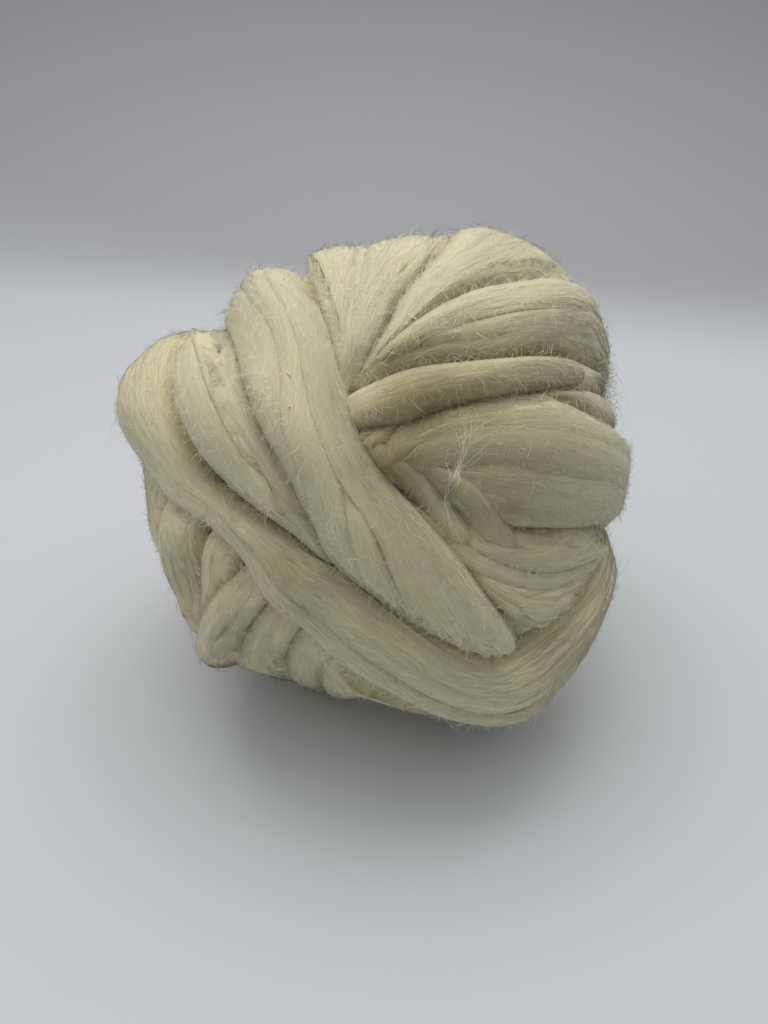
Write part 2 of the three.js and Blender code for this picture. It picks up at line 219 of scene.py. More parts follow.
def wool_streaks_group():
    """Streaks of parallel fibres, drawn out along the strand, for every surface of laid wool, with the
    painted shade of creases and the hollow mixed in.
    """
    group = bpy.data.node_groups.new("WoolStreaks", "ShaderNodeTree")
    sockets = group.interface
    sockets.new_socket("Fibre", in_out="INPUT", socket_type="NodeSocketVector")
    sockets.new_socket("Strand", in_out="INPUT", socket_type="NodeSocketFloat")
    sockets.new_socket("Depth", in_out="INPUT", socket_type="NodeSocketFloat")
    for label in ("Pale", "Cream", "ShadeAndGrain"):
        sockets.new_socket(label, in_out="INPUT", socket_type="NodeSocketColor")
    sockets.new_socket("Color", in_out="OUTPUT", socket_type="NodeSocketColor")
    sockets.new_socket("Height", in_out="OUTPUT", socket_type="NodeSocketFloat")
    nodes, links = group.nodes, group.links
    inside, outside = nodes.new("NodeGroupInput"), nodes.new("NodeGroupOutput")

    def streak(along, across, detail):
        """Noise of a cell in metres along and across the fibres."""
        stretch = nodes.new("ShaderNodeVectorMath")
        stretch.operation = "MULTIPLY"
        stretch.inputs[1].default_value = (1 / along, 1 / across, 1)
        texture = nodes.new("ShaderNodeTexNoise")
        texture.noise_dimensions = "4D"
        texture.inputs["Scale"].default_value = 1
        texture.inputs["Detail"].default_value = detail
        texture.inputs["Roughness"].default_value = 0.6
        links.new(inside.outputs["Fibre"], stretch.inputs[0])
        links.new(stretch.outputs[0], texture.inputs["Vector"])
        links.new(inside.outputs["Strand"], texture.inputs["W"])
        return texture.outputs["Fac"]

    def level(value, low, high):
        ranged = nodes.new("ShaderNodeMapRange")
        ranged.inputs["From Min"].default_value = low
        ranged.inputs["From Max"].default_value = high
        links.new(value, ranged.inputs["Value"])
        return ranged.outputs[0]

    def mix(factor, first, second):
        blend = nodes.new("ShaderNodeMix")
        blend.data_type = "RGBA"
        links.new(factor, blend.inputs[0])
        links.new(first, blend.inputs[6])
        links.new(second, blend.inputs[7])
        return blend.outputs[2]

    def sum_up(first, second, weight):
        total = nodes.new("ShaderNodeMath")
        total.operation = "MULTIPLY_ADD"
        links.new(second, total.inputs[0])
        total.inputs[1].default_value = weight
        links.new(first, total.inputs[2])
        return total.outputs[0]

    broad = streak(0.045, 0.0034, 2)
    fine = streak(0.028, 0.0009, 3)
    hair = streak(0.012, 0.00032, 2)
    tone = mix(level(broad, 0.3, 0.72), inside.outputs["Cream"], inside.outputs["Pale"])
    lines = nodes.new("ShaderNodeMix")
    lines.data_type = "RGBA"
    lines.blend_type = "MULTIPLY"
    lines.inputs[0].default_value = 0.4
    links.new(tone, lines.inputs[6])
    thin = level(sum_up(fine, hair, 0.6), 0.45, 1.05)
    links.new(mix(thin, inside.outputs["ShadeAndGrain"], inside.outputs["Pale"]), lines.inputs[7])
    # Painted shade: the colour is darkened towards the dark crease colour by the painted shade amount.
    shaded = mix(inside.outputs["Depth"], lines.outputs[2], inside.outputs["ShadeAndGrain"])
    links.new(shaded, outside.inputs["Color"])
    links.new(sum_up(sum_up(broad, fine, 0.7), hair, 0.45), outside.inputs["Height"])
    return group


WOOL_STREAKS = wool_streaks_group()


def laid_wool(name, pale, cream, shade_and_grain, relief):
    """Wool fibres lying side by side: matt, soft and a little translucent, with painted shade in the
    creases and the hollow.
    """
    material, tree, shader = new_material(name)
    nodes, links = tree.nodes, tree.links
    fibre = nodes.new("ShaderNodeUVMap")
    fibre.uv_map = "Fibre"
    strand, depth = nodes.new("ShaderNodeAttribute"), nodes.new("ShaderNodeAttribute")
    strand.attribute_name, depth.attribute_name = "strand", "depth"
    streaks = nodes.new("ShaderNodeGroup")
    streaks.node_tree = WOOL_STREAKS
    links.new(fibre.outputs["UV"], streaks.inputs["Fibre"])
    links.new(strand.outputs["Fac"], streaks.inputs["Strand"])
    # The depth attribute holds the painted shade of creases and the hollow.
    links.new(depth.outputs["Fac"], streaks.inputs["Depth"])
    streaks.inputs["Pale"].default_value = (*pale, 1)
    streaks.inputs["Cream"].default_value = (*cream, 1)
    streaks.inputs["ShadeAndGrain"].default_value = (*shade_and_grain, 1)
    bump = nodes.new("ShaderNodeBump")
    bump.inputs["Strength"].default_value = 1
    bump.inputs["Distance"].default_value = relief
    links.new(streaks.outputs["Height"], bump.inputs["Height"])
    links.new(bump.outputs["Normal"], shader.inputs["Normal"])
    links.new(streaks.outputs["Color"], shader.inputs["Base Color"])
    shader.inputs["Roughness"].default_value = 0.92
    shader.inputs["Specular IOR Level"].default_value = 0.15
    shader.inputs["Sheen Weight"].default_value = 0.25
    shader.inputs["Sheen Roughness"].default_value = 0.6
    shader.inputs["Subsurface Weight"].default_value = 0.35
    shader.inputs["Subsurface Radius"].default_value = (1.0, 0.9, 0.7)
    shader.inputs["Subsurface Scale"].default_value = 0.003
    return material


PALE = (0.86, 0.805, 0.555)
CREAM = (0.79, 0.73, 0.475)
# The dark of the fine streaks, and the colour of painted shade in creases and the hollow.
CREASE_SHADE_AND_GRAIN = (0.32, 0.265, 0.12)
FIBRE_RELIEF = 0.0002
TURN_WOOL = laid_wool("turn_wool", PALE, CREAM, CREASE_SHADE_AND_GRAIN, FIBRE_RELIEF)

globe = bmesh.new()
bmesh.ops.create_icosphere(globe, subdivisions=6, radius=1)
core_directions = unit(np.array([corner.co[:] for corner in globe.verts]))
core_faces = np.array([[corner.index for corner in face.verts] for face in globe.faces])
globe.free()
core_ripple = noise(core_directions[:, 0] * RIPPLES, core_directions[:, 2] * RIPPLES, RIPPLE_SEED)
core_points = place_on_ball(core_directions, hollow_depth(core_directions) + core_ripple - CORE_SUNK)
core_right, core_back, core_up = core_directions.T
core_fibre = np.column_stack([core_right + core_back, core_up]) * BALL_RADIUS * MM
# Painted shade: the core is darkened towards the crease colour everywhere, as it shows only at the bottom
# of creases, and more in the hollow.
core_painted_shade = np.maximum(CORE_PAINTED_SHADE, hollow_painted_shade(core_directions))
core_values = {"strand": np.zeros(len(core_points)), "depth": core_painted_shade}
core = wool_piece("wound_core", core_points, [core_faces], TURN_WOOL, core_fibre, core_values)
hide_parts("wool_ball")

# The turns round the back and the flanks. They are wound first, in groups that run side by
# side, each group across the one under it, and their ends go under the turns of the face.
CURVE_STEPS = 24
STATION_STEP = 2.5
PRESS_REACH = 5.0
PRESS_GAP = 0.8
ORDER_GAP = 0.12
MOST_ORDER_GAP = 1.2
PRESS_FROM = 0.2
PRESS_FULL = 0.6
NORMAL_STEP = 0.02
FEWEST_STATIONS = 8
NEAR_COSINE = 0.6
SINK = 0.55
STRAND_PRESS = 0.7
BED_EVENED = 12.0
EDGE_SQUARENESS = 2.3
EDGE_ROUNDNESS = 0.6
STRAND_ROUNDNESS = 0.85
UNDERSIDE = 0.45
UNDER_COLUMNS = 3
COLUMN_WIDTH = 0.8
COLUMNS = (10, 32)
BED_ACROSS = (-0.9, -0.6, -0.3, 0.0, 0.3, 0.6, 0.9)
STRAND_SHIFT = 1.7
# Painted shade in the creases: the wool is darkened towards the crease colour within this width of a
# turn's edge, less beside a strand.
CREASE_SHADE_WIDTH = 5.0
CREASE_SHADE_STRENGTH = 0.75
STRAND_SHADE_SHARE = 0.3
THIN_SHARE = 0.35
TUCK_LENGTH = 15.0
TUCK_SHARE = 0.1
BACK_GROUPS = [
    # name, thick mm, middle (degrees right, up), heading, offsets, reach, width mm
    ("under", 6, (0, 0), 0, (-66, -44, -22, 0, 22, 44, 66), 92, 34),
    ("flank_left", 6, (88, -14), -38, (-36, -17, 2, 21), 58, 30),
    ("flank_right", 6, (-84, -22), 62, (-32, -13, 6, 25), 56, 30),
    ("slant", 7, (8, -4), 40, (-38, -18, 2, 22), 82, 30),
    ("last", 8, (4, 6), -48, (-28, -9, 10), 86, 30),
]
GROUP_MARKS = 13
SWAY = {"degrees": 4.0, "bends": 2.2, "shift": 1.9}
SWELL = {"share": 0.16, "bends": 3.1, "shift": 2.7}
ENDING = 0.3
ENDING_NARROWED = 0.45
PLEATS = [
    # length mm, width mm, height mm
    (55, 4.4, 0.6),
    (34, 2.0, 0.32),
    (18, 1.05, 0.15),
]
PLEAT_SEED = 11
PLEAT_SHIFT = 7
PLEAT_FULL = 6.0
PLEAT_LEAST = 0.15
PLEAT_FALL = 0.5


def spline(rows, steps):
    """A smooth curve through the rows, with a number of steps between two of them."""
    rows = np.vstack([2 * rows[0] - rows[1], rows, 2 * rows[-1] - rows[-2]])
    part = np.linspace(0, 1, steps, endpoint=False)[:, None]
    spans = [between_rows(*near, part) for near in zip(rows, rows[1:], rows[2:], rows[3:])]
    return np.vstack(spans + [rows[-2:-1]])


def section(across, lies):
    """The height of a turn's section, from 1 in the middle to 0 at its edges: a flat oval for a
    turn, and a low soft ridge for a strand that lies on one."""
    away = np.clip(np.abs(across), 0, 1)
    if lies == "on":
        return (1 - away**2) ** STRAND_ROUNDNESS
    return (1 - away**EDGE_SQUARENESS) ** EDGE_ROUNDNESS


class Turn:
    """One turn of the strand: its stations along the ball, and the bed that it lies on."""

    def __init__(self, number, thick, directions, widths, lies="in"):
        curve = spline(np.column_stack([directions, widths]), CURVE_STEPS)
        out = unit(curve[:, :3])
        arc = np.r_[0, np.cumsum(np.linalg.norm(np.diff(out, axis=0), axis=1))] * BALL_RADIUS
        count = max(FEWEST_STATIONS, int(arc[-1] / STATION_STEP)) + 1
        self.number, self.lies = number, lies
        self.length = arc[-1]
        self.place = np.linspace(0, arc[-1], count)
        self.step = self.place[1]
        self.out = unit(np.stack([np.interp(self.place, arc, out[:, axis]) for axis in range(3)], -1))
        self.width = np.interp(self.place, arc, curve[:, 3])
        along = np.gradient(self.out, axis=0)
        self.along = unit(along - (along * self.out).sum(-1, keepdims=True) * self.out)
        self.across = np.cross(self.along, self.out)
        tuck = np.clip(np.minimum(self.place, arc[-1] - self.place) / TUCK_LENGTH, 0, 1)
        tuck = TUCK_SHARE + (1 - TUCK_SHARE) * tuck * tuck * (3 - 2 * tuck)
        fullness = THIN_SHARE + (1 - THIN_SHARE) * self.width / self.width.max()
        self.thick = thick * fullness * tuck
        self.bed = np.zeros((count, 2))

    def between(self, values, station):
        first = np.clip(np.floor(station).astype(int), 0, len(values) - 2)
        part = np.clip(station - first, 0, 1)
        if values.ndim > 1:
            part = part[..., None]
        return values[first] * (1 - part) + values[first + 1] * part

    def direction(self, station, across):
        offset = across * self.between(self.width, station) / 2 / BALL_RADIUS
        out = unit(self.between(self.out, station))
        aside = self.between(self.across, station)
        return unit(out * np.cos(offset)[..., None] + aside * np.sin(offset)[..., None])

    def bed_height(self, station, across):
        left, right = self.between(self.bed, station).T
        return (left.T * (1 - across) + right.T * (1 + across)) / 2

    def top(self, station, across):
        crown = self.between(self.thick, station) * section(across, self.lies)
        return self.bed_height(station, across) + crown

    def pleats(self, station, across):
        """The folds that run along the strand, deepest in its middle and none at its ends."""
        along = station * self.step
        aside = across * self.between(self.width, station) / 2
        folds = sum(
            height * noise(along / length + PLEAT_SHIFT * self.number, aside / width, PLEAT_SEED + place)
            for place, (length, width, height) in enumerate(PLEATS)
        )
        fullness = np.clip(self.between(self.thick, station) / PLEAT_FULL, PLEAT_LEAST, 1)
        return folds * fullness * (1 - PLEAT_FALL * across**2)

    def meet(self, directions):
        """Where directions meet the turn: station, mm beside its middle, and whether they do."""
        close = directions @ self.out.T
        nearest = close.argmax(1)
        ahead = np.einsum("ij,ij->i", directions, self.along[nearest])
        station = nearest + ahead * BALL_RADIUS / self.step
        aside = np.einsum("ij,ij->i", directions, self.across[nearest])
        aside = np.arcsin(np.clip(aside, -1, 1)) * BALL_RADIUS
        meets = (station >= 0) & (station <= len(self.place) - 1) & (close.max(1) > NEAR_COSINE)
        station = np.clip(station, 0, len(self.place) - 1)
        return station, aside, self.between(self.width, station) / 2, meets

    def locate(self, directions):
        """Where directions meet the turn: station, place across, and whether they do."""
        station, aside, half, meets = self.meet(directions)
        return station, aside / half, meets & (np.abs(aside) < half)

    def press(self, directions, height, before=0):
        """Wool wound a number of turns before this one is pressed under it, and rounds down to it
        beside its edges."""
        station, aside, half, meets = self.meet(directions)
        near = meets & (np.abs(aside) - half < PRESS_REACH)
        station, aside, half = station[near], aside[near], half[near]
        part = np.clip((np.abs(aside) - half) / PRESS_REACH, 0, 1)
        gap = PRESS_GAP + min(ORDER_GAP * before, MOST_ORDER_GAP)
        limit = self.top(station, np.clip(aside / half, -1, 1)) - gap
        limit += PRESS_REACH * np.sqrt(part * (2 - part))
        fullness = self.between(self.thick, station) / self.thick.max()
        fullness = np.clip((fullness - PRESS_FROM) / (PRESS_FULL - PRESS_FROM), 0, 1)
        height[near] -= np.maximum(height[near] - limit, 0) * fullness
        return height


wound = []


def wound_height(directions, turns):
    """The height of the ball over the core after a number of turns."""
    height = hollow_depth(directions)
    for turn in turns:
        if turn.lies != "on":
            height = turn.press(directions, height)
        station, across, meets = turn.locate(directions)
        height[meets] = np.maximum(height[meets], turn.top(station[meets], across[meets]))
    return height


def evened(values, reach):
    """A running mean with soft ends, over a number of values to each side."""
    weights = 1 + np.cos(np.pi * np.arange(-reach, reach + 1) / (reach + 1))
    return np.convolve(np.pad(values, reach, mode="edge"), weights / weights.sum(), mode="valid")


def lay(turn):
    """Winds a turn over those before it. A turn sinks in and its bed follows part of what lies
    under it, one that lies over a hollow is drawn tight, and a strand lies on the whole of it."""
    samples = np.array(BED_ACROSS)
    station, across = np.meshgrid(np.arange(len(turn.place)), samples, indexing="ij")
    directions = turn.direction(station.ravel().astype(float), across.ravel())
    height = wound_height(directions, wound).reshape(station.shape)
    if turn.lies == "over":
        height = np.maximum(height, 0)
    height = height - STRAND_PRESS if turn.lies == "on" else SINK * height
    mean = height.mean(1)
    slope = (height * samples).sum(1) / (samples**2).sum()
    reach = round(BED_EVENED / turn.step)
    turn.bed = np.stack([evened(mean - slope, reach), evened(mean + slope, reach)], -1)
    wound.append(turn)
    return turn


def pressed(turn, directions, height):
    """Heights of a turn after those wound later have pressed on it. A strand is too thin to."""
    for later in wound[turn.number + 1:]:
        if later.lies != "on":
            height = later.press(directions, height, later.number - turn.number)
    return height


def pressed_top(turn, station, across):
    """Directions and pressed heights of points on the top of a turn, without its pleats."""
    directions = turn.direction(station, across)
    height = pressed(turn, directions.reshape(-1, 3), turn.top(station, across).ravel())
    return directions, height.reshape(station.shape)


def surface_height(directions):
    """The height of the finished ball over the core, with its turns pressed and pleated."""
    height = hollow_depth(directions)
    for turn in wound:
        station, across, meets = turn.locate(directions)
        station, across = station[meets], across[meets]
        top = pressed(turn, directions[meets], turn.top(station, across)) + turn.pleats(station, across)
        height[meets] = np.maximum(height[meets], top)
    return height


def surface_normal(directions):
    """The outward normal of the finished ball, over a millimetre or so."""
    east = unit(np.cross((0.0, 0.0, 1.0), directions))
    steps = [directions, unit(directions + NORMAL_STEP * east)]
    steps.append(unit(directions + NORMAL_STEP * np.cross(directions, east)))
    here, beside, above = (place_on_ball(step, surface_height(step)) for step in steps)
    return unit(np.cross(beside - here, above - here))


def crease_painted_shade(turn, station, across):
    """Painted shade beside the edges of a turn, where it goes down into a crease: how far its colour is
    darkened towards the crease colour.
    """
    to_edge = (1 - np.abs(across)) * turn.between(turn.width, station) / 2
    tone = CREASE_SHADE_STRENGTH * (STRAND_SHADE_SHARE if turn.lies == "on" else 1)
    return tone * np.clip(1 - to_edge / CREASE_SHADE_WIDTH, 0, 1) ** 2


def turn_surface(turn):
    """The closed surface of one turn: a flat oval tube with pleats along its top."""
    columns = int(np.clip(turn.width.max() / COLUMN_WIDTH, *COLUMNS))
    top = np.sin(np.linspace(-0.5, 0.5, columns) * np.pi)
    under = np.linspace(1, -1, UNDER_COLUMNS + 2)[1:-1]
    ring = np.r_[top, under]
    station, across = np.meshgrid(np.arange(len(turn.place), dtype=float), ring, indexing="ij")
    is_top = np.broadcast_to(np.arange(len(ring)) < columns, station.shape)
    crown = turn.between(turn.thick, station) * section(across, turn.lies)
    pleats = turn.pleats(station, across) * (np.abs(across) < 1)
    directions, height = pressed_top(turn, station, across)
    height = height + np.where(is_top, pleats, -(1 + UNDERSIDE) * crown)
    points = place_on_ball(directions, height).reshape(-1, 3)
    fibre = np.stack([station * turn.step, across * turn.between(turn.width, station) / 2], -1) * MM
    # Painted shade: the top is darkened in creases and the hollow, and the hidden underside gets the full
    # crease colour.
    shade = np.maximum(crease_painted_shade(turn, station, across), hollow_painted_shade(directions))
    depth = np.where(is_top, shade, 1.0)
    count, around = station.shape
    index = np.arange(count * around).reshape(count, around)
    follow = np.roll(index, -1, axis=1)
    walls = np.stack([index[:-1], follow[:-1], follow[1:], index[1:]], -1).reshape(-1, 4)
    ends = np.stack([index[0][::-1], index[-1]])
    return points, walls, ends, fibre.reshape(-1, 2), depth.ravel()


def wool_turns(name, turns):
    """One piece from the turns of a group."""
    points, walls, ends, fibre, depth = zip(*(turn_surface(turn) for turn in turns))
    counts = [len(some) for some in points]
    starts = np.cumsum([0] + counts)
    walls = np.concatenate([some + start for some, start in zip(walls, starts)])
    ends = [some + start for some, start in zip(ends, starts)]
    strand = np.repeat([turn.number * STRAND_SHIFT for turn in turns], counts)
    # The depth attribute carries the painted shade.
    values = {"strand": strand, "depth": np.concatenate(depth)}
    wool_piece(name, np.concatenate(points), [walls] + ends, TURN_WOOL, np.concatenate(fibre), values)


def group_turns(thick, middle_mark, heading, offsets, reach, width):
    """Winds a group of turns side by side, each with a little sway and swell of its own."""
    middle = toward(BACK, *middle_mark)
    north = toward(BACK, middle_mark[0], middle_mark[1] + 1) - middle
    north = unit(north - middle * (north @ middle))
    east = np.cross(north, middle)
    ahead = north * math.cos(math.radians(heading)) + east * math.sin(math.radians(heading))
    aside = np.cross(ahead, middle)
    share = np.linspace(-1, 1, GROUP_MARKS)[:, None]
    turned = np.radians(reach) * share
    for place, offset in enumerate(offsets):
        bend = np.sin(SWAY["bends"] * turned + SWAY["shift"] * place)
        sway = np.radians(offset + SWAY["degrees"] * bend)
        directions = middle * np.cos(turned) + ahead * np.sin(turned)
        directions = directions * np.cos(sway) + aside * np.sin(sway)
        swell = 1 + SWELL["share"] * np.sin(SWELL["bends"] * turned + SWELL["shift"] * place)
        ending = np.clip((np.abs(share) - 1 + ENDING) / ENDING, 0, 1)
        widths = width * swell * (1 - ENDING_NARROWED * ending)
        yield lay(Turn(len(wound), thick, directions, widths[:, 0]))


back_turns = {name: list(group_turns(*group)) for name, *group in BACK_GROUPS}


def face_turns(table):
    """Winds the turns of a table: name, thickness in mm, how it lies, and marks of degrees right
    and up on the face and width in mm."""
    for _name, thick, lies, marks in table:
        marks = np.array(marks, float)
        directions = toward(FACE, marks[:, 0], marks[:, 1])
        yield lay(Turn(len(wound), thick, directions, marks[:, 2], lies))


# The fan of turns at the lower left. They come out from under the outermost turn, spread and go
# down under the ball.
LOW_LEFT = [
    ("low_left", 7, "in", [
        (-46, 6, 12), (-53, -8, 20), (-57, -23, 25), (-58, -38, 26), (-54, -56, 24), (-42, -78, 22),
        (-22, -100, 20),
    ]),
    ("fan_1", 6, "in", [
        (-33, -8, 6), (-38, -14, 12), (-42, -22, 17), (-43.5, -32, 20), (-43, -43, 21), (-39, -57, 20),
        (-30, -75, 20), (-14, -96, 18),
    ]),
    ("fan_2", 5.5, "in", [
        (-23, -15, 5), (-29, -22, 11), (-35.5, -29.5, 15), (-41.5, -36.5, 16), (-47, -44, 15),
        (-54, -54, 14), (-62, -68, 14),
    ]),
    ("fan_3", 5, "in", [
        (-19, -24, 6), (-24, -32, 13), (-29, -42, 18), (-33, -52, 20), (-35, -62, 20), (-32, -78, 19),
        (-18, -98, 18),
    ]),
    ("fan_4", 4, "in", [
        (-12, -30, 8), (-17, -39, 13), (-21, -49, 17), (-24, -60, 18), (-25, -76, 18), (-12, -98, 17),
    ]),
    ("fan_5", 4, "in", [
        (-3, -38, 8), (-8, -47, 14), (-12, -57, 18), (-14, -69, 18), (-14, -85, 18), (-4, -104, 17),
    ]),
    ("fan_6", 4, "in", [(8, -46, 10), (4, -58, 17), (2, -72, 20), (4, -92, 20)]),
]
low_left_turns = list(face_turns(LOW_LEFT))

# The level turns of the right side. They come round from the right, narrow, and dive into the
# hollow of the face, where short lengths are twisted over each other.
RIGHT = [
    ("hollow_bed", 4, "in", [
        (-18, -2, 9), (-11, 4, 12), (-4, 9, 13), (3, 12.5, 11), (9, 15.5, 8), (15, 18.5, 5),
    ]),
    ("hollow_foot", 4, "in", [
        (-8, 1, 8), (-2, -3.5, 11), (4, -8.5, 13), (10, -14.5, 13), (16, -21, 9),
    ]),
    ("hollow_back", 4, "in", [(-10, -2, 6), (-4, 4, 10), (1.5, 8.5, 10), (6.5, 13, 8), (12, 18, 4)]),
    ("right_low", 8, "in", [
        (9, -16, 6), (15, -23, 14), (23, -30, 22), (33, -31.5, 26), (45, -30.5, 25), (57, -28, 23),
        (70, -26, 22), (88, -27, 21), (104, -31, 18),
    ]),
    ("right_middle", 6, "in", [
        (12, -9, 5), (20, -13.5, 10), (30, -16.5, 15), (41, -17.5, 17), (52, -17, 18), (66, -17, 18),
        (84, -19, 17), (100, -23, 16),
    ]),
    ("right_high", 10, "in", [
        (-8, -7, 6), (-2, -2, 10), (4, 3, 19), (10, 5, 28), (17, 5.5, 35), (25, 5, 41), (35, 5, 43),
        (45, 5, 42), (55, 4, 40), (66, 2, 37), (82, -3, 33), (100, -10, 28),
    ]),
    ("high_strand_1", 1.9, "on", [
        (-2, 3, 5), (4, 8.5, 8), (10, 12, 12), (18, 14, 15), (28, 14.5, 16), (40, 13.5, 17),
        (54, 10.5, 16), (68, 6, 15), (86, 0, 14),
    ]),
    ("high_strand_2", 1.7, "on", [
        (-2, 0, 5), (4, 3, 8), (11, 5.5, 10), (20, 6.5, 12), (32, 5.5, 13), (44, 4, 13), (56, 2, 12),
        (72, -1, 11),
    ]),
    ("high_strand_3", 1.7, "on", [
        (4, 0, 5), (11, -1.5, 8), (18, -3, 10), (27, -4.8, 12), (37, -6.5, 13), (48, -7.5, 13),
        (60, -8, 12), (76, -11, 11),
    ]),
    ("twist_1", 3.4, "on", [
        (4, 3, 3), (8.5, 0, 6), (12.8, -3, 8.5), (16.9, -6, 9.5), (20.9, -10, 9.5), (24.3, -13.5, 8),
        (28, -17.5, 5),
    ]),
    ("twist_2", 3.4, "on", [
        (-6, 7, 3), (-2, 4.5, 6), (2.3, 1, 7.5), (6.8, -3, 8.5), (10.3, -7, 9), (13.8, -11, 8.5),
        (17, -15, 6), (20, -18.5, 3),
    ]),
    ("low_strand_1", 2.5, "on", [
        (9, -13.5, 4), (15, -16.5, 7), (22, -20, 9), (30, -23.5, 9), (40, -25, 9), (52, -24.5, 9),
        (66, -22, 8),
    ]),
    ("low_strand_2", 2.5, "on", [
        (12, -18.5, 5), (19, -23.5, 8), (27, -27.5, 10), (37, -29.5, 10), (50, -29, 10), (66, -27, 9),
    ]),
    ("low_strand_3", 2.5, "on", [
        (16, -27, 5), (24, -32, 9), (34, -35, 10), (46, -35, 10), (62, -32, 9),
    ]),
]
right_turns = list(face_turns(RIGHT))

# The fan of turns over the top. It is drawn together under the crossing turns and spreads over
# the top to the far side of the ball.
TOP = [
    ("behind_2", 5, "in", [
        (28, 21, 6), (40, 23.5, 13), (50, 25, 19), (62, 25, 22), (78, 24, 22), (96, 21, 20),
    ]),
    ("behind_1", 7, "in", [
        (7, 21.5, 5), (15, 22.8, 10), (25, 25.5, 15), (34, 28.5, 20), (44, 32.5, 24), (56, 37, 26),
        (72, 41, 26), (90, 44, 24),
    ]),
    ("fan", 7, "in", [
        (-12, 108, 52), (-13, 92, 58), (-12.5, 77, 58), (-11, 64, 53), (-9.5, 52, 44), (-8.5, 42, 34),
        (-8.8, 33, 24), (-10, 26, 14), (-12, 18, 5),
    ]),
    ("fan_strand_1", 2.4, "on", [
        (-34, 100, 20), (-27, 84, 22), (-20, 67, 22), (-16.5, 54, 19), (-14.5, 43, 14), (-13.3, 33, 9),
        (-12.3, 24, 4),
    ]),
    ("fan_strand_2", 2.4, "on", [
        (4, 92, 20), (3, 76, 20), (1.5, 61, 20), (-2.3, 48.5, 16), (-4.9, 38, 12.5), (-7.5, 29.5, 8),
        (-9.3, 22, 5), (-11, 17.5, 3),
    ]),
    ("fan_strand_3", 2.4, "on", [
        (24, 88, 12), (19, 73, 12), (13, 59, 11), (7, 46.5, 9), (2.4, 36, 7), (-2, 29, 5),
        (-6, 23.5, 3),
    ]),
    ("high_lobe", 7, "in", [
        (50, 88, 40), (44.5, 75, 44), (38, 61.5, 46), (28, 51.5, 41), (18.5, 44.5, 33), (10, 38, 24),
        (3.5, 31, 15), (-3, 24.5, 8), (-8, 19, 4),
    ]),
    ("lobe_strand", 1.8, "on", [
        (48, 80, 18), (40, 67, 20), (30.5, 56.5, 19), (21, 47.8, 16), (12, 40.5, 11), (4.5, 33, 7),
        (-2, 26, 4),
    ]),
    ("high_right", 7, "in", [
        (84, 46, 24), (70, 45, 26), (58, 44.5, 26), (45, 41.5, 24), (33.5, 38, 22.5), (24, 34.6, 22),
        (16, 31.5, 20), (8.5, 28.8, 15.5), (1.5, 26, 10), (-5, 21.5, 5),
    ]),
    ("high_strand", 1.5, "on", [
        (70, 51, 12), (56, 48.5, 13), (42, 44, 13), (31, 40.3, 12), (21, 37.2, 11), (12.5, 33.2, 8),
        (5, 29, 5),
    ]),
    ("wedge", 6.5, "in", [
        (-22, 8, 8), (-15, 11.3, 9), (-10, 13.2, 10), (-4.8, 15.3, 13), (2, 17.2, 15.5), (7, 18.6, 14),
        (12, 19.6, 12.5), (18, 20.5, 11), (26, 21.8, 9.5), (36, 24, 8), (46, 26.3, 6), (56, 28.5, 4),
    ]),
]
top_turns = list(face_turns(TOP))

